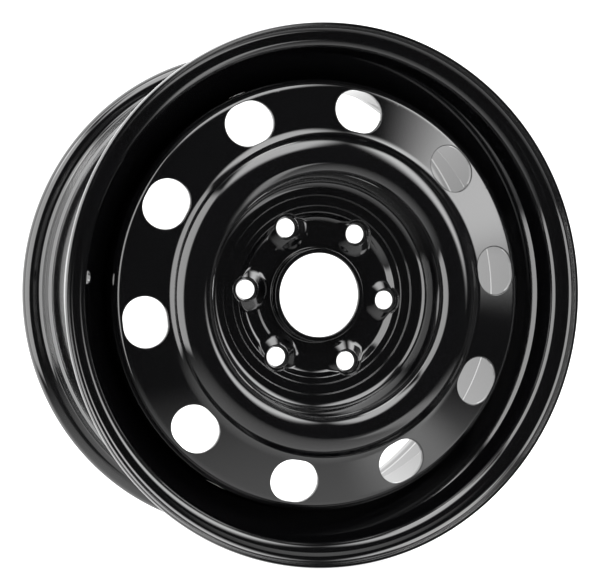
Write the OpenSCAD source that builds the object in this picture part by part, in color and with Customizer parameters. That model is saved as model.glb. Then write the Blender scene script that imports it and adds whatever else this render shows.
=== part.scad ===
// Pressed steel road wheel: a rolled drop-centre rim with a dished disc welded inside it.
// The wheel stands upright with its axis along Y. The outboard face looks along -Y, and the origin
// is the centre of the hub mounting face. A section is drawn as [radius, height], with the height
// measured from the mounting face towards the outboard side.

/* [Rim] */
// Diameter of the bead seat, where it meets the flange
bead_seat_d = 436.6; // [425:0.1:450]
// Width between the tyre sides of the two flanges
rim_width = 190.5; // [170:0.5:215]
// Height of the flange above the bead seat
flange_height = 17.3; // [15:0.1:20]
// Thickness of the rolled rim sheet
rim_sheet = 2.8; // [2:0.1:4]
// Bend radius of the flange curl on the tyre side
flange_curl = 9.5; // [7:0.1:11]
// Droop of the flange lip past the top of its curl, in degrees
lip_droop = 20; // [5:1:30]
// Straight length of the flange lip past the curl
lip_length = 1.5; // [0.5:0.1:3]
// Fillet radius between the flange and the bead seat
bead_fillet = 6.5; // [5:0.1:8]
// Taper of the bead seat, in degrees
seat_taper = 5; // [3:0.5:7]
// Width of the bead seat, from the flange to the hump
seat_width = 16.8; // [14:0.1:20]
// Distance from the flange to the crest of the front hump
hump_place = 25.4; // [22.5:0.1:28]
// Height of the front hump's crest below the bead seat diameter
hump_drop = 1.1; // [0.4:0.1:2]
// Depth of the drop well below the bead seat diameter
well_depth = 25.3; // [22:0.1:29]
// Slope of the outboard side of the well, in degrees from the axis
well_slope = 45; // [38:1:55]
// Width of the well's floor
well_width = 27; // [24:0.5:34]
// Slope of the inboard side of the well, in degrees from the axis
ledge_slope = 55; // [45:1:65]
// Depth of the inboard ledge below the bead seat diameter
ledge_drop = 3.1; // [2:0.1:5]
// Bend radius at the corners of the well
well_bend = 8; // [6:0.5:10]
// Bend radius at the humps
hump_bend = 6; // [4:0.5:8]

/* [Valve hole] */
// Diameter of the hole for the tyre valve
valve_hole_d = 11.5; // [10:0.1:16]
// Distance of the hole from the hump's crest, along the well's outboard slope
valve_place = 7.5; // [7:0.1:14]

/* [Disc] */
// Thickness of the disc sheet
disc_sheet = 4.5; // [4:0.1:5.2]
// Distance of the mounting face outboard of the rim's middle plane
wheel_offset = 50; // [40:1:58]
// Radial clearance between the disc's skirt and the rim well
skirt_clearance = 0.05; // [0.02:0.01:0.2]
// Reach of the skirt inboard of the mounting face
skirt_reach = 19; // [16:0.5:21]
// Height of the shoulder, where the hand hole face meets the skirt
shoulder_height = 30; // [27:0.5:33]
// Bend radius of the shoulder
shoulder_bend = 10; // [7:0.5:13]
// Radius of the foot of the crown's flank, where the ring of hand holes ends
flank_foot_r = 142.8; // [141.5:0.1:144]
// Height of the foot of the crown's flank
flank_foot_height = 37.9; // [36:0.1:39]
// Bend radius at the foot of the crown's flank
flank_bend = 13.5; // [10:0.5:14]
// Radius of the outer edge of the crown, the most outboard ring of the disc
crown_outer_r = 132.7; // [131:0.1:133.5]
// Radius of the inner edge of the crown
crown_inner_r = 107; // [106:0.1:109]
// Height of the crown
crown_height = 50; // [48:0.5:52]
// Bend radius of the crown's outer edge
crown_outer_bend = 20.5; // [16:0.5:21.5]
// Bend radius of the crown's inner edge
crown_inner_bend = 14.5; // [12:0.5:16]
// Radius of the foot of the bowl
bowl_foot_r = 101; // [98:0.5:103]
// Height of the foot of the bowl
bowl_foot_height = 14.8; // [13:0.1:17]
// Bend radius at the foot of the bowl
bowl_foot_bend = 9; // [7:0.5:11]
// Radius of the crease around the hub pad
crease_r = 75.4; // [74.5:0.1:76.5]
// Height of the crease around the hub pad
crease_height = 12.4; // [12:0.1:12.8]
// Bend radius at the crease around the hub pad
crease_bend = 6; // [5.2:0.1:7]
// Radius of the hub pad
pad_r = 68; // [67:0.1:69]
// Bend radius at the edge of the hub pad
pad_bend = 8; // [5:0.5:9]
// Radius of the recess in the hub pad, around the collar
recess_r = 53.5; // [50:0.1:55]
// Depth of the recess in the hub pad
recess_depth = 0.6; // [0.3:0.1:0.9]
// Width of the slope at the edge of the recess
recess_slope = 3; // [2:0.1:4]
// Bend radius at the edge of the recess
recess_bend = 6; // [4:0.5:8]
// Radius of the outer coined ring around the hub pad
coin_r = 88.7; // [86:0.1:92]
// Height of the outer coined ring
coin_height = 11.8; // [11.5:0.1:12.1]
// Radius of the inner coined ring, which trims the crease
inner_coin_r = 79.6; // [78.5:0.1:81]
// Height of the inner coined ring
inner_coin_height = 10.9; // [10.6:0.1:11.3]

/* [Hub bore] */
// Diameter of the hub bore
bore_d = 74.5; // [66:0.1:78]
// Height of the bore's collar
collar_height = 15.5; // [13:0.1:18]
// Length of the cylindrical land in the bore
bore_land = 3.2; // [2:0.1:5]
// Half angle of the flare behind the land, in degrees
bore_flare = 20; // [10:1:22]
// Bend radius at the foot of the collar
collar_bend = 1.6; // [0.6:0.1:3]

/* [Lug holes] */
// Number of lug holes
lug_count = 6; // [3:1:7]
// Diameter of the circle through the lug holes
lug_circle = 132; // [128:0.1:135]
// Diameter of each lug hole
lug_hole_d = 16.5; // [14:0.1:17.4]
// Diameter of the mouth of the conical nut seat
seat_mouth_d = 20.4; // [19:0.1:21]
// Half angle of the conical nut seat, in degrees
seat_angle = 30; // [28:1:36]
// Height of the raised bosses
boss_height = 8.8; // [8.4:0.1:9.3]
// Diameter of the flat top of a boss
boss_top_d = 21.2; // [21:0.1:23]
// Slope of the flank of a boss, in degrees from the axis
boss_flank = 62; // [52:1:66]
// Diameter of the coined seat around a boss
coined_seat_d = 25; // [24:0.1:27]
// Diameter of the pressed hollow behind a boss, at the mounting face
hollow_d = 29; // [27:0.5:30]
// Slope of the flank of the hollow, in degrees from the axis
hollow_flank = 42; // [32:0.5:46]
// Diameter of the pocket that carries a seat behind the wall of the hub pad
pocket_d = 33; // [31:0.5:35]
// Thickness of the sheet at the top of a boss
boss_sheet = 5; // [4.6:0.1:5.6]

/* [Hand holes] */
// Number of hand holes
hand_count = 10; // [5:1:11]
// Radius of the circle through the hand holes' centres
hand_circle_r = 164.4; // [163:0.1:166]
// Width of a hand hole around the wheel
hand_width = 43.8; // [40:0.1:52]
// Height of a hand hole along the wheel's radius
hand_height = 37; // [34:0.1:40]

/* [Weld beads] */
// Number of weld beads that join the disc to the rim
weld_count = 6; // [4:1:10]
// Angle that one weld bead covers, in degrees
weld_span = 30; // [10:1:34]
// Leg length of a weld bead
weld_leg = 4.2; // [3:0.1:4.6]
// Bulge of a weld bead's face, as a share of its leg
weld_bulge = 0.6; // [0.5:0.05:0.7]

/* [Clocking] */
// Angle of the lug hole and the hand hole that line up, in degrees from +X towards +Z
clock_angle = 115.5; // [0:0.5:180]

/* [Hidden] */
paint = [0.06, 0.06, 0.065];
round_steps = 240;
hole_steps = 96;
bend_steps = 8;
bend_share = 0.98;
over = 1;
tiny = 0.001;

seat_r = bead_seat_d / 2;
flange_r = seat_r + flange_height;
rim_middle = -wheel_offset;
front_wall = rim_middle + rim_width / 2;
rear_wall = rim_middle - rim_width / 2;

lip_turn = 90 + lip_droop;
lip_reach = flange_curl * tan(lip_turn / 2);
flange_corner_r = flange_r - flange_curl + lip_reach;
lip_end_r = flange_corner_r - (lip_reach + lip_length) * sin(lip_droop);
lip_end_out = (lip_reach + lip_length) * cos(lip_droop);

seat_end_r = seat_r - seat_width * tan(seat_taper);
hump_r = seat_r - hump_drop;
hump_height = front_wall - hump_place;
rear_hump_height = rear_wall + hump_place;
well_r = seat_r - well_depth;
well_start = hump_height - (hump_r - well_r) / tan(well_slope);
well_end = well_start - well_width;
ledge_r = seat_r - ledge_drop;
ledge_start = well_end - (ledge_r - well_r) / tan(ledge_slope);
ledge_end = rear_hump_height + hump_bend;

skirt_r = well_r - rim_sheet - skirt_clearance;
bore_r = bore_d / 2;
collar_r = bore_r + disc_sheet;
land_foot = collar_height - bore_land;
flare_r = bore_r + (land_foot + over) * tan(bore_flare);
lug_r = lug_hole_d / 2;
seat_depth = (seat_mouth_d - lug_hole_d) / 2 / tan(seat_angle);
boss_base_r = boss_top_d / 2 + boss_height * tan(boss_flank);
hollow_height = boss_height - boss_sheet;
hollow_top_r = hollow_d / 2 - hollow_height * tan(hollow_flank);
recess_height = disc_sheet - recess_depth;
coin_inner_r = (pad_r + collar_r) / 2;
valve_angle = clock_angle + 360 / lug_count;
valve_cut = 6 * rim_sheet;

// Direction of travel from one point of a section to the next, in degrees
function heading(a, b) = atan2(b[1] - a[1], b[0] - a[0]);
// Change of direction, from -180 to 180 degrees
function turn(h1, h2) = let (t = h2 - h1) t > 180 ? t - 360 : (t < -180 ? t + 360 : t);
// Unit vectors along a direction of travel and to its left
function along(h) = [cos(h), sin(h)];
function across(h) = [-sin(h), cos(h)];
function plan(p) = [p[0], p[1]];
// Length between two corners of a section
function span(a, b) = norm(plan(b) - plan(a));

// Change of direction at one corner of a section
function corner_turn(c, i) = turn(heading(c[i - 1], c[i]), heading(c[i], c[i + 1]));
// Length that the bend of a corner takes up along each of its sides; the open ends take none
function reach(c, i) = i == 0 || i == len(c) - 1 ? 0 : c[i][2] * tan(abs(corner_turn(c, i)) / 2);
// Share of a side's length that the bends at its two ends may fill, so that neither overruns it
function fit(c, i) = min(1, bend_share * span(c[i], c[i + 1]) / max(reach(c, i) + reach(c, i + 1), tiny));

// One corner [radius, height, bend] as points [radius, height, heading] along its bend
function bend(c, i) =
    i == 0 ? [concat(plan(c[0]), heading(c[0], c[1]))] :
    i == len(c) - 1 ? [concat(plan(c[i]), heading(c[i - 1], c[i]))] :
    let (
        h1 = heading(c[i - 1], c[i]),
        t = corner_turn(c, i),
        limit = min(fit(c, i - 1), fit(c, i)),
        start = plan(c[i]) - limit * reach(c, i) * along(h1),
        side = sign(t) * limit * c[i][2],
        centre = start + side * across(h1)
    )
    [for (j = [0:bend_steps])
        let (h = h1 + t * j / bend_steps)
        concat(centre - side * across(h), h)];

// A bent path through corners, its parallel face, and the closed section of a sheet between them
function bent(corners) = [for (i = [0:len(corners) - 1]) each bend(corners, i)];
function face(path, off) = [for (p = path) plan(p) + off * across(p[2])];
function backwards(list) = [for (i = [len(list) - 1:-1:0]) list[i]];
function sheet(corners, thick) =
    let (path = bent(corners))
    concat(face(path, 0), backwards(face(path, thick)));

// Tyre side of the rim, from the front lip to the rear lip
rim_corners = [
    [lip_end_r, front_wall + lip_end_out],
    [flange_corner_r, front_wall, flange_curl],
    [seat_r, front_wall, bead_fillet],
    [seat_end_r, front_wall - seat_width, hump_bend],
    [hump_r, hump_height, hump_bend],
    [well_r, well_start, well_bend],
    [well_r, well_end, well_bend],
    [ledge_r, ledge_start, well_bend],
    [ledge_r, ledge_end, hump_bend],
    [hump_r, rear_hump_height, hump_bend],
    [seat_end_r, rear_wall + seat_width, hump_bend],
    [seat_r, rear_wall, bead_fillet],
    [flange_corner_r, rear_wall, flange_curl],
    [lip_end_r, rear_wall - lip_end_out]
];

// Outboard side of the disc, from the end of the skirt to the tip of the collar
disc_corners = [
    [skirt_r, -skirt_reach],
    [skirt_r, shoulder_height, shoulder_bend],
    [flank_foot_r, flank_foot_height, flank_bend],
    [crown_outer_r, crown_height, crown_outer_bend],
    [crown_inner_r, crown_height, crown_inner_bend],
    [bowl_foot_r, bowl_foot_height, bowl_foot_bend],
    [crease_r, crease_height, crease_bend],
    [pad_r, disc_sheet, pad_bend],
    [recess_r + recess_slope, disc_sheet, recess_bend],
    [recess_r, recess_height, recess_bend],
    [collar_r, recess_height, collar_bend],
    [collar_r, collar_height]
];

// Turns a solid built about Z so that its axis is Y and its outboard end looks along -Y
module on_axle() {
    rotate([90, 0, 0]) children();
}

// Places a shape at each of a number of equal steps around the axis
module around(count, radius) {
    for (i = [0:count - 1])
        rotate([0, 0, clock_angle + i * 360 / count])
            translate([radius, 0, 0])
                children();
}

module revolved(points) {
    rotate_extrude($fn = round_steps)
        polygon(points);
}

module valve_hole() {
    place_r = hump_r - valve_place * sin(well_slope);
    place_height = hump_height - valve_place * cos(well_slope);
    rotate([0, 0, valve_angle])
        translate([place_r, 0, place_height])
            rotate([0, well_slope - 90, 0])
                cylinder(d = valve_hole_d, h = valve_cut, center = true, $fn = hole_steps);
}

module rim_barrel() {
    color(paint)
        on_axle()
            difference() {
                revolved(sheet(rim_corners, -rim_sheet));
                valve_hole();
            }
}

// Everything outboard of the middle of the disc sheet, around the hub pad
module outboard_side() {
    half = disc_sheet / 2;
    top = bowl_foot_height + over;
    revolved([
        [collar_r, half],
        [pad_r, half],
        [crease_r, crease_height - half],
        [bowl_foot_r, bowl_foot_height - half],
        [bowl_foot_r, top],
        [collar_r, top]
    ]);
}

// Everything inboard of the wall around the hub pad
module behind_wall() {
    revolved([
        [pad_r, 0],
        [pad_r, disc_sheet],
        [crease_r, crease_height],
        [bowl_foot_r, crease_height],
        [bowl_foot_r, 0]
    ]);
}

// Raised cones on the pad, and the pockets that carry their seats behind the wall
module bosses() {
    intersection() {
        around(lug_count, lug_circle / 2)
            cylinder(h = boss_height, r1 = boss_base_r, r2 = boss_top_d / 2, $fn = hole_steps);
        outboard_side();
    }
    intersection() {
        around(lug_count, lug_circle / 2)
            translate([0, 0, hollow_height])
                cylinder(d = pocket_d, h = boss_sheet, $fn = hole_steps);
        behind_wall();
    }
}

// Hole, conical nut seat, coined flat in front and pressed hollow behind
module lug_hole() {
    translate([0, 0, -over])
        cylinder(r = lug_r, h = boss_height + 2 * over, $fn = hole_steps);
    translate([0, 0, boss_height - seat_depth])
        cylinder(h = seat_depth, r1 = lug_r, r2 = seat_mouth_d / 2, $fn = hole_steps);
    translate([0, 0, boss_height])
        cylinder(d = coined_seat_d, h = crown_height, $fn = hole_steps);
    translate([0, 0, -over])
        cylinder(d = hollow_d, h = over, $fn = hole_steps);
    cylinder(h = hollow_height, r1 = hollow_d / 2, r2 = hollow_top_r, $fn = hole_steps);
}

module hand_hole() {
    end_r = hand_height / 2;
    shift = (hand_width - hand_height) / 2;
    linear_extrude(height = crown_height + over) {
        for (side = [-1, 1])
            translate([0, side * shift])
                circle(r = end_r, $fn = hole_steps);
        square([hand_height, 2 * shift], center = true);
    }
}

module coined_ring(radius, height) {
    top = bowl_foot_height + over;
    revolved([[coin_inner_r, height], [radius, height], [radius, top], [coin_inner_r, top]]);
}

// Trims the back of the recess level with the mounting face
module mounting_face_cut() {
    translate([0, 0, -over])
        cylinder(r = recess_r + recess_slope, h = over, $fn = round_steps);
}

module bore_flare_cut() {
    translate([0, 0, -over])
        cylinder(h = land_foot + over, r1 = flare_r, r2 = bore_r, $fn = round_steps);
}

module wheel_disc() {
    color(paint)
        on_axle()
            difference() {
                union() {
                    revolved(sheet(disc_corners, disc_sheet));
                    bosses();
                }
                coined_ring(coin_r, coin_height);
                coined_ring(inner_coin_r, inner_coin_height);
                mounting_face_cut();
                bore_flare_cut();
                around(lug_count, lug_circle / 2) lug_hole();
                around(hand_count, hand_circle_r) hand_hole();
            }
}

// One bead fills the corner between the end of the skirt and the rim well
module weld_bead() {
    root_r = well_r - rim_sheet;
    rotate_extrude(angle = weld_span, $fn = round_steps)
        polygon([
            [root_r - skirt_clearance, -skirt_reach],
            [root_r - skirt_clearance, -skirt_reach - weld_leg],
            [root_r - weld_bulge * weld_leg, -skirt_reach - weld_bulge * weld_leg],
            [root_r - weld_leg, -skirt_reach]
        ]);
}

module weld_beads() {
    color(paint)
        on_axle()
            for (i = [0:weld_count - 1])
                rotate([0, 0, clock_angle + (i + 0.5) * 360 / weld_count - weld_span / 2])
                    weld_bead();
}

rim_barrel();
wheel_disc();
weld_beads();
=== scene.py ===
import math
import bmesh
import bpy
import numpy as np
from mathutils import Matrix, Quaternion, Vector


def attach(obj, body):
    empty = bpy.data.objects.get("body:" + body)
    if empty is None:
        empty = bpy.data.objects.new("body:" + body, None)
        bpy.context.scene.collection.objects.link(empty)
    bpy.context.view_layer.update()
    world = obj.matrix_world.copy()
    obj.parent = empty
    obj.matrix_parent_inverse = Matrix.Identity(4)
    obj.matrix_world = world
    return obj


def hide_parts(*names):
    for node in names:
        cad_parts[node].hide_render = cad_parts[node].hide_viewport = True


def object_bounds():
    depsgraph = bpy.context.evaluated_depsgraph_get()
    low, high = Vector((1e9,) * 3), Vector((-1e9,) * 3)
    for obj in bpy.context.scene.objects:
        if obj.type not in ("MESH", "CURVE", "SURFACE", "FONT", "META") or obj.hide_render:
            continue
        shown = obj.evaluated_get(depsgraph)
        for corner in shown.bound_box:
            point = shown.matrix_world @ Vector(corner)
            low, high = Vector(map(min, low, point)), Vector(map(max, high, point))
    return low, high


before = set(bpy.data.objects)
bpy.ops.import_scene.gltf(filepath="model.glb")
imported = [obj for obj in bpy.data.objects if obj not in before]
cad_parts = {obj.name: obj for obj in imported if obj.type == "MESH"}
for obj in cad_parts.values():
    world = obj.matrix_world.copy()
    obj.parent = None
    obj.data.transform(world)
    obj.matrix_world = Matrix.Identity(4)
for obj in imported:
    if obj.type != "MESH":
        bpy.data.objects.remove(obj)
cadBox = [list(corner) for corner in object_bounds()]
mm = 0.001

# sections are (radius, height) in mm, the height measured from the mounting face towards the outboard side
wheel = dict(
    columns=240,       # grid steps around the axis
    clockAngle=115.5,  # where a lug hole and a hand hole line up, degrees from +X towards +Z
    bendStep=6.0,      # degrees of bend between two grid lines
    smallStep=10.0,    # the same at small edges and on hidden faces
    longStep=7.0,      # longest straight between two grid lines
)


# a line through corners (radius, height, bend): straights joined by arcs tangent to both sides
def bentPath(corners, fineStep=0.5):
    plan = np.array([corner[:2] for corner in corners], float)
    side = np.diff(plan, axis=0)
    way = side / np.linalg.norm(side, axis=1)[:, None]
    heading = np.unwrap(np.arctan2(way[:, 1], way[:, 0]))
    points, turns = [plan[:1]], [heading[:1]]
    for i in range(1, len(plan) - 1):
        turn = heading[i] - heading[i - 1]
        bend = corners[i][2]
        angle = np.linspace(heading[i - 1], heading[i], max(3, int(abs(math.degrees(turn)) / fineStep)))
        start = plan[i] - bend * math.tan(abs(turn) / 2) * way[i - 1]
        left = np.stack([-np.sin(angle), np.cos(angle)], 1) * math.copysign(bend, turn)
        points.append(start + left[0] - left)
        turns.append(angle)
    line = np.concatenate(points + [plan[-1:]])
    angle = np.concatenate(turns + [heading[-1:]])
    travel = np.concatenate([[0], np.cumsum(np.linalg.norm(np.diff(line, axis=0), axis=1))])
    return dict(s=travel, r=line[:, 0], h=line[:, 1], a=angle)


# grid lines between two travels, spread so that bends get more of them than straights
def stations(path, first, last, bendStep=wheel["bendStep"]):
    fine = np.linspace(first, last, 3000)
    bendRate = np.abs(np.gradient(np.interp(fine, path["s"], path["a"]), fine))
    rate = np.maximum(bendRate / math.radians(bendStep), 1 / wheel["longStep"])
    measure = np.concatenate([[0], np.cumsum((rate[1:] + rate[:-1]) / 2 * np.diff(fine))])
    count = max(2, int(math.ceil(measure[-1])) + 1)
    return np.interp(np.linspace(0, measure[-1], count), measure, fine)


# radius, height and normal at travel s on the face that lies off to the left of the path
def faceAt(path, s, off=0.0, side=1.0):
    angle = np.interp(s, path["s"], path["a"])
    leftR, leftH = -np.sin(angle), np.cos(angle)
    r = np.interp(s, path["s"], path["r"]) + off * leftR
    h = np.interp(s, path["s"], path["h"]) + off * leftH
    return r, h, side * leftR, side * leftH


# travel at which a face has a given radius, between two travels over which the radius only falls
def travelAtRadius(path, radius, first, last, off=0.0):
    s = np.linspace(first, last, 6000)
    return float(np.interp(-radius, -faceAt(path, s, off)[0], s))


def toRow(r, h, theta):
    return np.stack([r * np.cos(theta), -h + 0 * theta, r * np.sin(theta)], -1)


# a section line turned about the axis: the point is (r cos t, -h, r sin t), and the normal likewise
def revolved(section, theta):
    r, h, nr, nh = (np.asarray(value)[:, None] + 0 * theta[None, :] for value in section)
    angle = theta[None, :] + 0 * r
    return toRow(r, h, angle), toRow(nr, nh, angle)


# joins grid patches (points, normals) into one mesh: faces follow the normals and shared points merge
def meshFromPatches(name, patches):
    points = np.concatenate([p.reshape(-1, 3) for p, n in patches])
    normals = np.concatenate([n.reshape(-1, 3) for p, n in patches])
    quads, start = [], 0
    for p, n in patches:
        index = start + np.arange(p.shape[0] * p.shape[1]).reshape(p.shape[:2])
        around = (index[:-1, :-1], index[1:, :-1], index[1:, 1:], index[:-1, 1:])
        quads.append(np.stack(around, -1).reshape(-1, 4))
        start += index.size
    quads = np.concatenate(quads)
    corner = points[quads]
    faceNormal = np.cross(corner[:, 2] - corner[:, 0], corner[:, 3] - corner[:, 1])
    flip = np.einsum("ij,ij->i", faceNormal, normals[quads].sum(1)) < 0
    quads[flip] = quads[flip][:, ::-1]
    mesh = bpy.data.meshes.new(name)
    mesh.from_pydata((points * mm).tolist(), [], quads.tolist())
    mesh.attributes.new("outward", "FLOAT_VECTOR", "POINT").data.foreach_set("vector", normals.ravel())
    joined = bmesh.new()
    joined.from_mesh(mesh)
    bmesh.ops.remove_doubles(joined, verts=joined.verts, dist=0.004 * mm)
    joined.to_mesh(mesh)
    openEdges = sum(1 for edge in joined.edges if len(edge.link_faces) != 2)
    joined.free()
    kept = np.empty(len(mesh.vertices) * 3)
    mesh.attributes["outward"].data.foreach_get("vector", kept)
    mesh.attributes.remove(mesh.attributes["outward"])
    mesh.shade_smooth()
    mesh.normals_split_custom_set_from_vertices(kept.reshape(-1, 3).tolist())
    piece = bpy.data.objects.new(name, mesh)
    bpy.context.scene.collection.objects.link(piece)
    print(name, len(mesh.vertices), "points", len(mesh.polygons), "faces", openEdges, "open edges")
    return piece


# grid lines over several spans (first, last, count), which share their ends
def gridLines(*spans):
    lines = [np.linspace(*span) for span in spans]
    return np.concatenate(lines[:1] + [line[1:] for line in lines[1:]])


# points around the edge of a rectangle of grid lines, in order and closed
def rectangleRing(u, v):
    sides = ((u[0] + 0 * v, v), (u, v[-1] + 0 * u), (u[-1] + 0 * v, v[::-1]), (u[::-1], v[0] + 0 * u))
    ring = np.concatenate([np.stack(side, 1)[:-1] for side in sides])
    return np.concatenate([ring, ring[:1]])


# colours are written as sRGB hex and turned to linear here
def srgb(code):
    value = np.array([int(code[i:i + 2], 16) for i in (0, 2, 4)]) / 255
    linear = np.where(value <= 0.04045, value / 12.92, ((value + 0.055) / 1.055) ** 2.4)
    return (*linear.tolist(), 1.0)


# one node with its settings, its input values and its links (socket, other node, other socket)
def addNode(tree, kind, settings=None, inputs=None, links=()):
    node = tree.nodes.new(kind)
    for key, value in (settings or {}).items():
        setattr(node, key, value)
    for key, value in (inputs or {}).items():
        node.inputs[key].default_value = value
    for socket, other, output in links:
        tree.links.new(other.outputs[output], node.inputs[socket])
    return node


# rim: rolled strip with two flanges, bead seats, humps and a drop well
rim = dict(
    seatRadius=218.3, width=190.5, flangeHeight=17.3, sheet=2.8, middle=-50.0,
    curl=9.5, lipDroop=20.0, lipLength=1.5, beadFillet=6.5,
    seatTaper=5.0, seatWidth=16.8, humpPlace=25.4, humpDrop=1.1, humpBend=6.0,
    wellDepth=25.3, wellSlope=45.0, wellWidth=27.0, ledgeSlope=55.0, ledgeDrop=3.1, wellBend=8.0,
    edge=0.7,           # rounding of the sheared lips
    valveDiameter=11.5, valvePlace=7.5, valveEdge=0.5, valveBlock=9.0, valveColumns=3,
)


def rimCorners():
    frontWall = rim["middle"] + rim["width"] / 2
    rearWall = rim["middle"] - rim["width"] / 2
    droop = math.radians(rim["lipDroop"])
    lipReach = rim["curl"] * math.tan((math.pi / 2 + droop) / 2)
    cornerRadius = rim["seatRadius"] + rim["flangeHeight"] - rim["curl"] + lipReach
    lipRadius = cornerRadius - (lipReach + rim["lipLength"]) * math.sin(droop)
    lipOut = (lipReach + rim["lipLength"]) * math.cos(droop)
    seatEnd = rim["seatRadius"] - rim["seatWidth"] * math.tan(math.radians(rim["seatTaper"]))
    humpRadius = rim["seatRadius"] - rim["humpDrop"]
    humpFront = frontWall - rim["humpPlace"]
    humpRear = rearWall + rim["humpPlace"]
    wellRadius = rim["seatRadius"] - rim["wellDepth"]
    wellStart = humpFront - (humpRadius - wellRadius) / math.tan(math.radians(rim["wellSlope"]))
    wellEnd = wellStart - rim["wellWidth"]
    ledgeRadius = rim["seatRadius"] - rim["ledgeDrop"]
    ledgeStart = wellEnd - (ledgeRadius - wellRadius) / math.tan(math.radians(rim["ledgeSlope"]))
    return [
        (lipRadius, frontWall + lipOut),
        (cornerRadius, frontWall, rim["curl"]),
        (rim["seatRadius"], frontWall, rim["beadFillet"]),
        (seatEnd, frontWall - rim["seatWidth"], rim["humpBend"]),
        (humpRadius, humpFront, rim["humpBend"]),
        (wellRadius, wellStart, rim["wellBend"]),
        (wellRadius, wellEnd, rim["wellBend"]),
        (ledgeRadius, ledgeStart, rim["wellBend"]),
        (ledgeRadius, humpRear + rim["humpBend"], rim["humpBend"]),
        (humpRadius, humpRear, rim["humpBend"]),
        (seatEnd, rearWall + rim["seatWidth"], rim["humpBend"]),
        (rim["seatRadius"], rearWall, rim["beadFillet"]),
        (cornerRadius, rearWall, rim["curl"]),
        (lipRadius, rearWall - lipOut),
    ]


# quarter arcs and flat of a sheet's cut end, from the drawn face (off 0) to the other (off thick)
def sheetEnd(path, s, ahead, thick, edge):
    r, h, nr, nh = (float(value) for value in faceAt(path, s))
    alongR, alongH = nh * ahead, -nr * ahead
    sign = math.copysign(1, thick)
    turn = np.linspace(0, math.pi / 2, 5)
    lines = []
    for base, out in ((0.0, -sign), (thick, sign)):
        outR = np.cos(turn) * out * nr + np.sin(turn) * alongR
        outH = np.cos(turn) * out * nh + np.sin(turn) * alongH
        centreR = r + (base - out * edge) * nr - edge * alongR
        centreH = h + (base - out * edge) * nh - edge * alongH
        lines.append(np.stack([centreR + edge * outR, centreH + edge * outH, outR, outH]))
    return np.concatenate([lines[0], lines[1][:, ::-1]], axis=1)


# valve hole: grid rings run from the block's edge to the hole, round its edge and go through the sheet
def valvePatches(path, lines, angles, centre, valveAngle):
    hole, edge = rim["valveDiameter"] / 2, rim["valveEdge"]
    middleRadius = float(faceAt(path, centre)[0])
    ring = rectangleRing(lines - centre, (angles - valveAngle) * middleRadius)
    outward = ring / np.linalg.norm(ring, axis=1)[:, None]
    share = np.linspace(0, 1, 7)[:, None, None]
    turn = np.linspace(0, math.pi / 2, 5)[:, None]
    patches, walls = [], []
    for off, side in ((0.0, 1.0), (-rim["sheet"], -1.0)):
        flat = ring * (1 - share) + outward * (hole + edge) * share
        angle = valveAngle + flat[..., 1] / middleRadius
        r, h, nr, nh = faceAt(path, centre + flat[..., 0], off, side)
        patches.append((toRow(r, h, angle), toRow(nr, nh, angle)))
        spread = hole + edge * (1 - np.sin(turn))
        sink = -edge * (1 - np.cos(turn))
        angle = valveAngle + spread * outward[:, 1] / middleRadius
        r, h, nr, nh = faceAt(path, centre + spread * outward[:, 0], off, side)
        aroundWay = np.stack([-np.sin(angle), 0 * angle, np.cos(angle)], -1)
        slopeWay = toRow(nh * side, -nr * side, angle)
        inward = -(slopeWay * outward[:, 0, None] + aroundWay * outward[:, 1, None])
        normal = toRow(nr, nh, angle) * np.cos(turn)[..., None] + inward * np.sin(turn)[..., None]
        patches.append((toRow(r + sink * nr, h + sink * nh, angle), normal))
        walls.append((patches[-1][0][-1], inward[-1]))
    patches.append((np.stack([walls[0][0], walls[1][0]]), np.stack([walls[0][1], walls[1][1]])))
    return patches


def buildRim():
    path = bentPath(rimCorners())
    edge, total = rim["edge"], path["s"][-1]
    theta = math.radians(wheel["clockAngle"]) + np.linspace(0, 2 * math.pi, wheel["columns"] + 1)
    slope = math.radians(rim["wellSlope"])
    holeRadius = rim["seatRadius"] - rim["humpDrop"] - rim["valvePlace"] * math.sin(slope)
    humpHeight = rim["middle"] + rim["width"] / 2 - rim["humpPlace"]
    humpTravel = path["s"][np.argmin(np.abs(path["h"] - humpHeight))]
    centre = travelAtRadius(path, holeRadius, humpTravel, humpTravel + rim["wellDepth"])
    blockLines = np.linspace(centre - rim["valveBlock"], centre + rim["valveBlock"], 9)
    column = wheel["columns"] // disc["lugCount"]
    low, high = column - rim["valveColumns"], column + rim["valveColumns"]
    restTheta = np.concatenate([theta[high:], theta[1:low + 1] + 2 * math.pi])
    patches = valvePatches(path, blockLines, theta[low:high + 1], centre, theta[column])
    for off, side in ((0.0, 1.0), (-rim["sheet"], -1.0)):
        patches.append(revolved(faceAt(path, stations(path, edge, blockLines[0]), off, side), theta))
        patches.append(revolved(faceAt(path, stations(path, blockLines[-1], total - edge), off, side), theta))
        patches.append(revolved(faceAt(path, blockLines, off, side), restTheta))
    for s, ahead in ((0.0, -1.0), (total, 1.0)):
        patches.append(revolved(sheetEnd(path, s, ahead, -rim["sheet"], edge), theta))
    return meshFromPatches("rimBarrel", patches)


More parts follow.
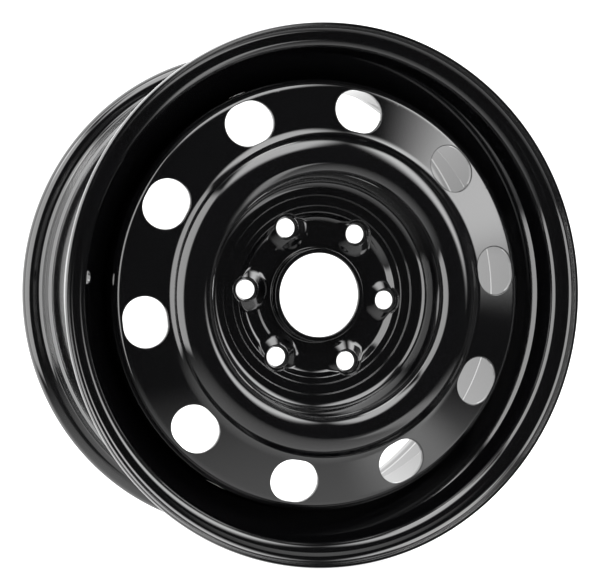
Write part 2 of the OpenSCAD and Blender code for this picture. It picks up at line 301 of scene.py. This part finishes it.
# disc: one pressing from the skirt in the rim's well to the collar around the hub bore
disc = dict(
    sheet=4.5, skirtRadius=190.15, skirtReach=19.0, shoulderHeight=30.0, shoulderBend=10.0,
    flankRadius=142.8, flankHeight=37.9, flankBend=13.5, crownHeight=50.0,
    crownOuterRadius=132.7, crownOuterBend=20.5, crownInnerRadius=107.0, crownInnerBend=14.5,
    footRadius=101.0, footHeight=14.8, footBend=9.0, creaseRadius=75.4, creaseHeight=12.4, creaseBend=6.0,
    padRadius=68.0, padBend=8.0, recessRadius=53.5, recessDepth=0.6, recessSlope=3.0, recessBend=6.0,
    coinRadius=88.7, coinHeight=11.8, innerCoinRadius=79.6, innerCoinHeight=10.9, edge=0.8,
    boreRadius=37.25, collarHeight=15.5, boreLand=3.2, boreFlare=20.0, collarBend=1.6, collarEdge=0.9,
    lugCount=6, lugCircle=66.0, lugRadius=8.25, seatMouth=10.2, seatAngle=30.0, seatEdge=0.3,
    bossHeight=8.8, bossTop=10.6, bossFlank=62.0, bossEdge=0.3, bossFillet=1.3, coinedSeat=12.5,
    hollowRadius=14.5, hollowTop=11.1, hollowFillet=1.2, bossSheet=5.0, pocketRadius=16.5, pocketFlank=3.0,
    handCount=10, handCircle=164.4, handWidth=43.8, handHeight=37.0, handEdge=0.9, handBackEdge=0.4,
    hubInner=43.6, hubOuter=79.05, hubBackOuter=87.9, lugHalf=12,   # the ring that holds the lug holes
    coinStart=89.6, coinSoft=0.6, coinFillet=0.4,   # the two coined rings, and how far their edges blend
    pocketFillet=0.8, seatBand=0.4, seatFoot=0.4, holeEdge=0.3, backBand=1.0, landFillet=1.5, flareEdge=0.6,
    # the ring that holds the hand holes, with finer grid lines inside and outside the two fine radii
    handInner=143.4, handFineInner=148.0, handFineOuter=180.0, handOuter=186.0, handBackOuter=184.7,
    handHalf=8,
)


def discCorners():
    return [
        (disc["skirtRadius"], -disc["skirtReach"]),
        (disc["skirtRadius"], disc["shoulderHeight"], disc["shoulderBend"]),
        (disc["flankRadius"], disc["flankHeight"], disc["flankBend"]),
        (disc["crownOuterRadius"], disc["crownHeight"], disc["crownOuterBend"]),
        (disc["crownInnerRadius"], disc["crownHeight"], disc["crownInnerBend"]),
        (disc["footRadius"], disc["footHeight"], disc["footBend"]),
        (disc["creaseRadius"], disc["creaseHeight"], disc["creaseBend"]),
        (disc["padRadius"], disc["sheet"], disc["padBend"]),
        (disc["recessRadius"] + disc["recessSlope"], disc["sheet"], disc["recessBend"]),
        (disc["recessRadius"], disc["sheet"] - disc["recessDepth"], disc["recessBend"]),
        (disc["boreRadius"], disc["sheet"] - disc["recessDepth"]),
    ]


discPath = bentPath(discCorners())
shoulderStart = disc["shoulderHeight"] + disc["skirtReach"] - disc["shoulderBend"] * 0.8
lugAngles = np.radians(wheel["clockAngle"] + 360 / disc["lugCount"] * np.arange(disc["lugCount"]))
handAngles = np.radians(wheel["clockAngle"] + 360 / disc["handCount"] * np.arange(disc["handCount"]))
lugCentres = disc["lugCircle"] * np.stack([np.cos(lugAngles), np.sin(lugAngles)], 1)


# height of a turned face above plan points
def turnedHeight(plan, off):
    s = np.linspace(shoulderStart, discPath["s"][-1], 8000)
    r, h = faceAt(discPath, s, off)[:2]
    return np.interp(-np.linalg.norm(plan, axis=-1), -r, h)


# larger or smaller of two heights, with a fillet of about the given size where they meet
def smoothMax(a, b, fillet):
    share = np.clip(0.5 + 0.5 * (b - a) / fillet, 0, 1)
    return a * (1 - share) + b * share + fillet * share * (1 - share)


def smoothMin(a, b, fillet):
    return -smoothMax(-a, -b, fillet)


# 0 below the edge and 1 above it, over a soft millimetre
def softStep(value, edge):
    share = np.clip(value - edge + 0.5, 0, 1)
    return share * share * (3 - 2 * share)


def nearestLug(plan):
    return np.min(np.linalg.norm(plan[..., None, :] - lugCentres, axis=-1), axis=-1)


# outboard face: turned profile, two coined rings, boss cones and the coined flat around each nut seat
def frontHeight(plan):
    radius, lug = np.linalg.norm(plan, axis=-1), nearestLug(plan)
    pad = turnedHeight(plan, 0.0)
    for coinRadius, coinHeight in (
        (disc["coinRadius"], disc["coinHeight"]), (disc["innerCoinRadius"], disc["innerCoinHeight"]),
    ):
        coined = smoothMin(pad, coinHeight, disc["coinFillet"])
        pad = coined + (pad - coined) * softStep(radius, coinRadius)
    flank = disc["bossHeight"] - (lug - disc["bossTop"]) / math.tan(math.radians(disc["bossFlank"]))
    boss = smoothMin(disc["bossHeight"] + 0 * lug, flank, disc["bossEdge"])
    height = smoothMax(pad, boss, disc["bossFillet"])
    flat = np.minimum(height, disc["bossHeight"])
    return flat + (height - flat) * softStep(lug, disc["coinedSeat"])


# inboard face: the turned profile trimmed at the mounting face, with pockets behind the wall and
# hollows behind the bosses
def backHeight(plan):
    lug, top = nearestLug(plan), disc["bossHeight"] - disc["bossSheet"]
    trimmed = np.maximum(turnedHeight(plan, disc["sheet"]), 0.0)
    pocket = top + disc["pocketFlank"] * np.maximum(lug - disc["pocketRadius"], 0.0)
    share = (disc["hollowRadius"] - lug) / (disc["hollowRadius"] - disc["hollowTop"])
    wall = smoothMin(trimmed, pocket, disc["pocketFillet"])
    return smoothMax(wall, np.minimum(1, share) * top, disc["hollowFillet"])


# points above a plan, with the normal from the slope of the height: side 1 in front and -1 behind
def lifted(plan, height, side):
    small = 0.02
    slope = [(height(plan + step) - height(plan - step)) / (2 * small) for step in small * np.eye(2)]
    normal = np.stack([-slope[0], -np.ones_like(slope[0]), -slope[1]], -1) * side
    normal /= np.linalg.norm(normal, axis=-1, keepdims=True)
    return np.stack([plan[..., 0], -height(plan), plan[..., 1]], -1), normal


def polarPlan(r, theta):
    return np.stack([r * np.cos(theta), r * np.sin(theta)], -1)


# edge of an obround hole in each bearing from its centre, and the direction away from the hole there
def obround(bearing):
    end, shift = disc["handHeight"] / 2, (disc["handWidth"] - disc["handHeight"]) / 2
    c, s = np.cos(bearing), np.sin(bearing)
    flat = np.abs(s) * end <= np.abs(c) * shift
    onRound = np.abs(s) * shift + np.sqrt(np.maximum(end ** 2 - (shift * c) ** 2, 0))
    reach = np.where(flat, end / np.maximum(np.abs(c), 1e-6), onRound)
    edge = np.stack([reach * c, reach * s], -1)
    middle = np.stack([0 * s, np.clip(edge[:, 1], -shift, shift)], -1)
    return edge, (edge - middle) / end


# ten hand holes: rings of grid lines close in on each hole, round its edges and go through the sheet
def handPatches():
    step = 2 * math.pi / wheel["columns"]
    half = disc["handHalf"]
    gap = wheel["columns"] // disc["handCount"] - 2 * half
    faces = (
        (frontHeight, 1.0, disc["handEdge"], disc["handOuter"]),
        (backHeight, -1.0, disc["handBackEdge"], disc["handBackOuter"]),
    )
    turn = np.linspace(0, math.pi / 2, 5)[:, None, None]
    share = (np.linspace(0, 1, 8) ** 0.8)[:, None, None]
    middle = np.array([disc["handCircle"], 0])
    fine = (disc["handFineInner"], disc["handFineOuter"])
    patches = []
    for angle in handAngles:
        blockTheta = angle + step * np.arange(-half, half + 1)
        restTheta = blockTheta[-1] + step * np.arange(gap + 1)
        toWheel = np.array([[math.cos(angle), math.sin(angle)], [-math.sin(angle), math.cos(angle)]])
        walls, bearing = [], None
        for height, side, edge, outerRadius in faces:
            radii = gridLines((disc["handInner"], fine[0], 6), (*fine, 9), (fine[1], outerRadius, 6))
            patches.append(lifted(polarPlan(radii[:, None], restTheta[None, :]), height, side))
            outer = polarPlan(*rectangleRing(radii, blockTheta).T)
            local = outer @ toWheel.T - middle
            bearing = np.arctan2(local[:, 1], local[:, 0]) if bearing is None else bearing
            hole, away = obround(bearing)
            edgePlan = (hole + edge * away + middle) @ toWheel
            patches.append(lifted(outer * (1 - share) + edgePlan * share, height, side))
            place, normal = lifted(edgePlan, height, side)
            awayRow = away @ toWheel
            inward = np.stack([-awayRow[:, 0], 0 * awayRow[:, 0], -awayRow[:, 1]], -1)
            sink = np.array([0, side * edge, 0])
            bent = normal * np.cos(turn) + inward * np.sin(turn)
            bent /= np.linalg.norm(bent, axis=-1, keepdims=True)
            patches.append((place + inward * edge * np.sin(turn) + sink * (1 - np.cos(turn)), bent))
            walls.append((patches[-1][0][-1], inward))
        patches.append((np.stack([walls[0][0], walls[1][0]]), np.stack([walls[0][1], walls[1][1]])))
    return patches


# nut seat from the boss's flat top, down the cone and through the hole to the hollow behind
def seatCorners():
    depth = (disc["seatMouth"] - disc["lugRadius"]) / math.tan(math.radians(disc["seatAngle"]))
    hollow = disc["bossHeight"] - disc["bossSheet"]
    return [
        (disc["seatMouth"] + disc["seatBand"], disc["bossHeight"]),
        (disc["seatMouth"], disc["bossHeight"], disc["seatEdge"]),
        (disc["lugRadius"], disc["bossHeight"] - depth, disc["seatFoot"]),
        (disc["lugRadius"], hollow, disc["holeEdge"]),
        (disc["lugRadius"] + disc["backBand"], hollow),
    ]


# six lug holes: circles of grid lines around each seat, which spread to the edges of a block of the ring
def lugPatches():
    step = 2 * math.pi / wheel["columns"]
    half = disc["lugHalf"]
    gap = wheel["columns"] // disc["lugCount"] - 2 * half
    recess, wallFoot, wallTop = disc["recessRadius"], disc["padRadius"] - 4, disc["creaseRadius"] + 1
    inner, flat, last = disc["hubInner"], disc["coinedSeat"], disc["coinedSeat"] + 0.3
    common = ((inner, recess - 1, 3), (recess - 1, recess + 4, 7), (recess + 4, wallFoot, 4))
    frontRadii = gridLines(*common, (wallFoot, wallTop, 16), (wallTop, disc["hubOuter"], 3))
    backRadii = gridLines(*common, (wallFoot, disc["hubBackOuter"], 18))
    seatStart = disc["seatMouth"] + disc["seatBand"]
    frontCircles = gridLines((seatStart, flat - 0.5, 5), (flat - 0.5, last, 6))
    hollowStart = disc["hollowTop"] - 0.8
    backCircles = gridLines((disc["lugRadius"] + disc["backBand"], hollowStart, 2), (hollowStart, last, 5))
    seat = bentPath(seatCorners())
    rho, h, nRho, nh = faceAt(seat, stations(seat, 0, seat["s"][-1], wheel["smallStep"]), 0.0, -1.0)
    patches = []
    for angle, centre in zip(lugAngles, lugCentres):
        blockTheta = angle + step * np.arange(-half, half + 1)
        restTheta = blockTheta[-1] + step * np.arange(gap + 1)
        bearings = []
        for height, side, radii, circles, count in (
            (frontHeight, 1.0, frontRadii, frontCircles, 17), (backHeight, -1.0, backRadii, backCircles, 10),
        ):
            patches.append(lifted(polarPlan(radii[:, None], restTheta[None, :]), height, side))
            outer = polarPlan(*rectangleRing(radii, blockTheta).T)
            bearing = np.unwrap(np.arctan2(*(outer - centre).T[::-1]))
            near = centre + polarPlan(circles[:, None], bearing[None, :])
            share = np.linspace(0, 1, count)[1:, None, None]
            far = near[-1] * (1 - share) + outer * share
            patches.append(lifted(np.concatenate([near, far]), height, side))
            bearings.append(bearing)
        # the seat's grid turns from the front circle's bearings to the back circle's
        share = np.linspace(0, 1, len(rho))[:, None]
        bearing = bearings[0] * (1 - share) + bearings[1] * share
        plan = centre + polarPlan(rho[:, None], bearing)
        lean = polarPlan(nRho[:, None], bearing)
        rise = h[:, None] + 0 * bearing
        rise[0], rise[-1] = frontHeight(plan[0]), backHeight(plan[-1])
        point = np.stack([plan[..., 0], -rise, plan[..., 1]], -1)
        patches.append((point, np.stack([lean[..., 0], -nh[:, None] + 0 * bearing, lean[..., 1]], -1)))
    return patches


# collar: up from the pad, over its tip, down the bore's land and out along the flare to the mounting face
def collarCorners():
    collar = disc["boreRadius"] + disc["sheet"]
    recessHeight = disc["sheet"] - disc["recessDepth"]
    landFoot = disc["collarHeight"] - disc["boreLand"]
    flareRadius = disc["boreRadius"] + landFoot * math.tan(math.radians(disc["boreFlare"]))
    return [
        (disc["hubInner"], recessHeight),
        (collar, recessHeight, disc["collarBend"]),
        (collar, disc["collarHeight"], disc["collarEdge"]),
        (disc["boreRadius"], disc["collarHeight"], disc["collarEdge"]),
        (disc["boreRadius"], landFoot, disc["landFillet"]),
        (flareRadius, 0.0, disc["flareEdge"]),
        (disc["hubInner"], 0.0),
    ]


def buildDisc():
    theta = math.radians(wheel["clockAngle"]) + np.linspace(0, 2 * math.pi, wheel["columns"] + 1)
    total, edge = discPath["s"][-1], disc["edge"]
    patches = handPatches() + lugPatches()
    # skirt and shoulder, then the bowl, in front and behind
    for off, side, outer, foot, bendStep in (
        (0.0, -1.0, disc["handOuter"], disc["coinStart"], wheel["bendStep"]),
        (disc["sheet"], 1.0, disc["handBackOuter"], disc["hubBackOuter"], wheel["smallStep"]),
    ):
        shoulder = travelAtRadius(discPath, outer, shoulderStart, total, off)
        crown = travelAtRadius(discPath, disc["handInner"], shoulderStart, total, off)
        bowlEnd = travelAtRadius(discPath, foot, shoulderStart, total, off)
        for first, last in ((edge, shoulder), (crown, bowlEnd)):
            lines = stations(discPath, first, last, bendStep)
            patches.append(revolved(faceAt(discPath, lines, off, side), theta))
    outerCoin, innerCoin = disc["coinRadius"] - disc["coinSoft"], disc["innerCoinRadius"] + disc["coinSoft"]
    coinRadii = gridLines(
        (disc["coinStart"], outerCoin, 9), (outerCoin, innerCoin, 4), (innerCoin, disc["hubOuter"], 8),
    )
    patches.append(lifted(polarPlan(coinRadii[:, None], theta[None, :]), frontHeight, 1.0))
    patches.append(revolved(sheetEnd(discPath, 0.0, -1.0, disc["sheet"], edge), theta))
    collar = bentPath(collarCorners())
    lines = stations(collar, 0, collar["s"][-1], wheel["smallStep"])
    patches.append(revolved(faceAt(collar, lines, 0.0, -1.0), theta))
    return meshFromPatches("wheelDisc", patches)


# welds: rippled fillets in the corner between the skirt's end and the rim's well
weld = dict(count=6, span=30.0, leg=4.0, gap=0.06, ripple=0.12, pitch=2.2, steps=150, taper=3.0)


def buildWelds():
    root = rim["seatRadius"] - rim["wellDepth"] - rim["sheet"] - weld["gap"]
    end = -disc["skirtReach"] - weld["gap"]
    face = np.linspace(0, math.pi / 2, 13)[:, None]
    half = math.radians(weld["span"]) / 2
    grids = []
    for i in range(weld["count"]):
        middle = math.radians(wheel["clockAngle"] + (i + 0.5) * 360 / weld["count"])
        theta = middle + np.linspace(-half, half, weld["steps"])[None, :]
        travel = (theta - middle + half) * root
        fromEnd = np.clip(np.minimum(travel, travel[:, ::-1]) / weld["taper"], 0, 1)
        size = 0.05 + 0.95 * np.sqrt(1 - (1 - fromEnd) ** 2)
        # the face bulges from leg to leg, and ripples follow one another along the bead
        wave = np.abs(np.sin(math.pi * (travel / weld["pitch"] + 0.35 * np.sin(2 * face))))
        bulge = 0.65 + 0.35 / (np.cos(face) + np.sin(face))
        leg = (weld["leg"] - weld["ripple"] * wave * np.sin(2 * face)) * size * bulge
        bead = toRow(root - leg * np.sin(face), end - leg * np.cos(face), theta + 0 * leg)
        grids.append(np.concatenate([toRow(root + 0 * theta, end + 0 * theta, theta), bead]))
    return beadMesh("weldBeads", grids)


# each grid is closed around the bead and capped at its two ends
def beadMesh(name, grids):
    faces, start = [], 0
    for grid in grids:
        index = start + np.arange(grid.shape[0] * grid.shape[1]).reshape(grid.shape[:2])
        loop = np.concatenate([index, index[:1]])
        around = (loop[:-1, :-1], loop[1:, :-1], loop[1:, 1:], loop[:-1, 1:])
        faces += np.stack(around, -1).reshape(-1, 4).tolist()
        faces += [index[::-1, 0].tolist(), index[:, -1].tolist()]
        start += index.size
    mesh = bpy.data.meshes.new(name)
    points = np.concatenate([grid.reshape(-1, 3) for grid in grids])
    mesh.from_pydata((points * mm).tolist(), [], faces)
    outside = bmesh.new()
    outside.from_mesh(mesh)
    bmesh.ops.recalc_face_normals(outside, faces=outside.faces)
    outside.to_mesh(mesh)
    outside.free()
    mesh.shade_smooth()
    piece = bpy.data.objects.new(name, mesh)
    bpy.context.scene.collection.objects.link(piece)
    print(name, len(mesh.vertices), "points", len(mesh.polygons), "faces")
    return piece


rimPiece = buildRim()
discPiece = buildDisc()
weldPiece = buildWelds()
for piece, node, slot in (
    (rimPiece, "rim_barrel", "rim_paint"),
    (discPiece, "wheel_disc", "disc_paint"),
    (weldPiece, "weld_beads", "weld_paint"),
):
    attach(piece, "root")
    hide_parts(node)
print("pieces built")

# gloss black enamel: a deep black base under a clear wet gloss, so the eye sees mostly reflections
paint = dict(base="070708", roughness=0.10, coatRoughness=0.03, peelSize=2.6, peelHeight=0.0016)


def enamel(name):
    material = bpy.data.materials.new(name)
    material.use_nodes = True
    tree = material.node_tree
    shader = tree.nodes["Principled BSDF"]
    values = {
        "Base Color": srgb(paint["base"]), "Metallic": 0.0, "Roughness": paint["roughness"], "IOR": 1.5,
        "Coat Weight": 1.0, "Coat Roughness": paint["coatRoughness"], "Coat IOR": 1.5,
    }
    for key, value in values.items():
        shader.inputs[key].default_value = value
    place = addNode(tree, "ShaderNodeTexCoord")
    # orange peel: the paint film's soft waves, a few millimetres across
    peel = addNode(tree, "ShaderNodeTexNoise", inputs={"Scale": 1 / (paint["peelSize"] * mm), "Detail": 1.0},
                   links=(("Vector", place, "Object"),))
    bump = addNode(tree, "ShaderNodeBump", inputs={"Strength": 1.0, "Distance": paint["peelHeight"] * mm},
                   links=(("Height", peel, "Fac"),))
    tree.links.new(bump.outputs["Normal"], shader.inputs["Normal"])
    tree.links.new(bump.outputs["Normal"], shader.inputs["Coat Normal"])
    return material


for piece, name in ((rimPiece, "rimEnamel"), (discPiece, "discEnamel"), (weldPiece, "weldEnamel")):
    piece.data.materials.clear()
    piece.data.materials.append(enamel(name))
print("paint applied")

# studio: pale floor under the wheel, white behind it, soft panels around it
studio = dict(
    floorColour="F0F0F0", floorSize=16.0, floorDrop=0.0004, floorToCamera=0.85,
    patchLight=1.2, patchNear=0.2, patchFar=-0.75, patchMiddle=0.1, patchHalf=0.65, patchSoft=0.4,
    backLight=1.7, frontLight=0.03, backStart=-0.1, backFull=0.3,
)


# floor: pale and matt, white to the camera, on which shadows still fall; the paint reflects only
# a lit patch of it
def floorMaterial():
    material = bpy.data.materials.new("paleFloor")
    material.use_nodes = True
    tree = material.node_tree
    shader = tree.nodes["Principled BSDF"]
    shader.inputs["Base Color"].default_value = srgb(studio["floorColour"])
    shader.inputs["Roughness"].default_value = 0.9
    shader.inputs["Specular IOR Level"].default_value = 0.0
    shader.inputs["Emission Color"].default_value = (1, 1, 1, 1)
    path = addNode(tree, "ShaderNodeLightPath")
    white = addNode(tree, "ShaderNodeMath", {"operation": "MULTIPLY"}, {1: studio["floorToCamera"]},
                    ((0, path, "Is Camera Ray"),))
    tree.links.new(white.outputs[0], shader.inputs["Emission Strength"])
    place = addNode(tree, "ShaderNodeTexCoord")
    axes = addNode(tree, "ShaderNodeSeparateXYZ", links=(("Vector", place, "Object"),))
    smooth = {"interpolation_type": "SMOOTHSTEP"}
    near = addNode(tree, "ShaderNodeMapRange", smooth,
                   {"From Min": studio["patchFar"], "From Max": studio["patchNear"]}, (("Value", axes, "Y"),))
    aside = addNode(tree, "ShaderNodeMath", {"operation": "SUBTRACT"}, {1: studio["patchMiddle"]},
                    ((0, axes, "X"),))
    reach = addNode(tree, "ShaderNodeMath", {"operation": "ABSOLUTE"}, links=((0, aside, 0),))
    across = addNode(tree, "ShaderNodeMapRange", smooth,
                     {"From Min": studio["patchHalf"], "From Max": studio["patchHalf"] - studio["patchSoft"]},
                     (("Value", reach, 0),))
    share = addNode(tree, "ShaderNodeMath", {"operation": "MULTIPLY"},
                    links=((0, near, "Result"), (1, across, "Result")))
    glow = addNode(tree, "ShaderNodeEmission", inputs={"Strength": studio["patchLight"]})
    clear = addNode(tree, "ShaderNodeBsdfTransparent")
    patch = addNode(tree, "ShaderNodeMixShader", links=((0, share, 0), (1, clear, 0), (2, glow, 0)))
    gloss = addNode(tree, "ShaderNodeMath", {"operation": "MAXIMUM"},
                    links=((0, path, "Is Glossy Ray"), (1, path, "Is Transmission Ray")))
    mixed = addNode(tree, "ShaderNodeMixShader", links=((0, gloss, 0), (1, shader, 0), (2, patch, 0)))
    tree.links.new(mixed.outputs[0], tree.nodes["Material Output"].inputs["Surface"])
    return material


def addPlane(name, width, height, material):
    x, y = width / 2, height / 2
    mesh = bpy.data.meshes.new(name)
    mesh.from_pydata([(-x, -y, 0), (x, -y, 0), (x, y, 0), (-x, y, 0)], [], [(0, 1, 2, 3)])
    mesh.materials.append(material)
    plane = bpy.data.objects.new(name, mesh)
    bpy.context.scene.collection.objects.link(plane)
    return plane


# world: white to the camera, white behind the wheel and dim in front of it for what the paint reflects
def buildWorld():
    world = bpy.data.worlds.new("studioWorld")
    bpy.context.scene.world = world
    world.use_nodes = True
    tree = world.node_tree
    tree.nodes.clear()
    place = addNode(tree, "ShaderNodeTexCoord")
    axes = addNode(tree, "ShaderNodeSeparateXYZ", links=(("Vector", place, "Generated"),))
    limits = {"From Min": studio["backStart"], "From Max": studio["backFull"],
              "To Min": studio["frontLight"], "To Max": studio["backLight"]}
    behind = addNode(tree, "ShaderNodeMapRange", {"interpolation_type": "SMOOTHSTEP"}, limits,
                     (("Value", axes, "Y"),))
    path = addNode(tree, "ShaderNodeLightPath")
    strength = addNode(tree, "ShaderNodeMath", {"operation": "MAXIMUM"},
                       links=((0, path, "Is Camera Ray"), (1, behind, "Result")))
    light = addNode(tree, "ShaderNodeBackground", inputs={"Color": (1, 1, 1, 1)},
                    links=(("Strength", strength, 0),))
    addNode(tree, "ShaderNodeOutputWorld", links=(("Surface", light, "Background"),))


# soft panel: a clear sheet that glows on one side, with light that fades over a margin at its edges
def panelMaterial(name, width, height, radiance, margin):
    material = bpy.data.materials.new(name)
    material.use_nodes = True
    tree = material.node_tree
    tree.nodes.clear()
    place = addNode(tree, "ShaderNodeTexCoord")
    axes = addNode(tree, "ShaderNodeSeparateXYZ", links=(("Vector", place, "Object"),))
    fades = []
    for axis, size in (("X", width), ("Y", height)):
        fromMiddle = addNode(tree, "ShaderNodeMath", {"operation": "ABSOLUTE"}, links=((0, axes, axis),))
        limits = {"From Min": size / 2, "From Max": size / 2 - margin}
        fades.append(addNode(tree, "ShaderNodeMapRange", {"interpolation_type": "SMOOTHSTEP"}, limits,
                             (("Value", fromMiddle, 0),)))
    both = addNode(tree, "ShaderNodeMath", {"operation": "MULTIPLY"},
                   links=((0, fades[0], "Result"), (1, fades[1], "Result")))
    face = addNode(tree, "ShaderNodeNewGeometry")
    front = addNode(tree, "ShaderNodeMath", {"operation": "SUBTRACT"}, {0: 1.0}, ((1, face, "Backfacing"),))
    level = addNode(tree, "ShaderNodeMath", {"operation": "MULTIPLY"}, links=((0, both, 0), (1, front, 0)))
    strength = addNode(tree, "ShaderNodeMath", {"operation": "MULTIPLY"}, {1: radiance}, ((0, level, 0),))
    glow = addNode(tree, "ShaderNodeEmission", links=(("Strength", strength, 0),))
    clear = addNode(tree, "ShaderNodeBsdfTransparent")
    sheet = addNode(tree, "ShaderNodeAddShader", links=((0, glow, 0), (1, clear, 0)))
    addNode(tree, "ShaderNodeOutputMaterial", links=(("Surface", sheet, 0),))
    return material


# panels stand at an azimuth (from the outboard side towards +X) and an elevation, and face the wheel
def addPanel(name, azimuth, elevation, roll, distance, width, height, radiance, margin):
    az, el = math.radians(azimuth), math.radians(elevation)
    way = Vector((math.sin(az) * math.cos(el), -math.cos(az) * math.cos(el), math.sin(el)))
    panel = addPlane(name, width, height, panelMaterial(name, width, height, radiance, margin))
    turn = (-way).to_track_quat("Z", "Y") @ Quaternion((0, 0, 1), math.radians(roll))
    panel.location = way * distance
    panel.rotation_euler = turn.to_euler()
    panel.visible_camera = False


# camera: stands where the photographer stood, to the left of the wheel and a little above its axis
view = dict(lens=94.57, sensor=36.0, place=(-0.4807, -1.32845, 0.0290), forward=(0.33190, 0.94308, -0.02010))


def buildCamera():
    camera = bpy.data.cameras.new("photoCamera")
    camera.lens, camera.sensor_width = view["lens"], view["sensor"]
    holder = bpy.data.objects.new("photoCamera", camera)
    holder.location = view["place"]
    holder.rotation_euler = Vector(view["forward"]).to_track_quat("-Z", "Y").to_euler()
    bpy.context.scene.collection.objects.link(holder)
    bpy.context.scene.camera = holder


floor = addPlane("floor", studio["floorSize"], studio["floorSize"], floorMaterial())
floor.location = (0, 0, cadBox[0][2] - studio["floorDrop"])
buildWorld()
addPanel("keyPanel", 51, 27, 22, 2.5, 1.55, 3.0, 5.3, 0.7)
addPanel("leftPanel", -72, 12, 4, 2.5, 2.9, 4.2, 3.6, 0.45)
addPanel("topLeftPanel", -80, 64, 20, 2.5, 0.8, 3.4, 5.4, 0.4)
addPanel("topPanel", -5, 59, 12, 2.5, 2.5, 2.2, 4.7, 0.65)
addPanel("lowRightPanel", 50, -30, 20, 2.5, 2.3, 0.8, 2.4, 0.3)
buildCamera()
bpy.context.scene.view_settings.view_transform = "Standard"
print("studio ready")
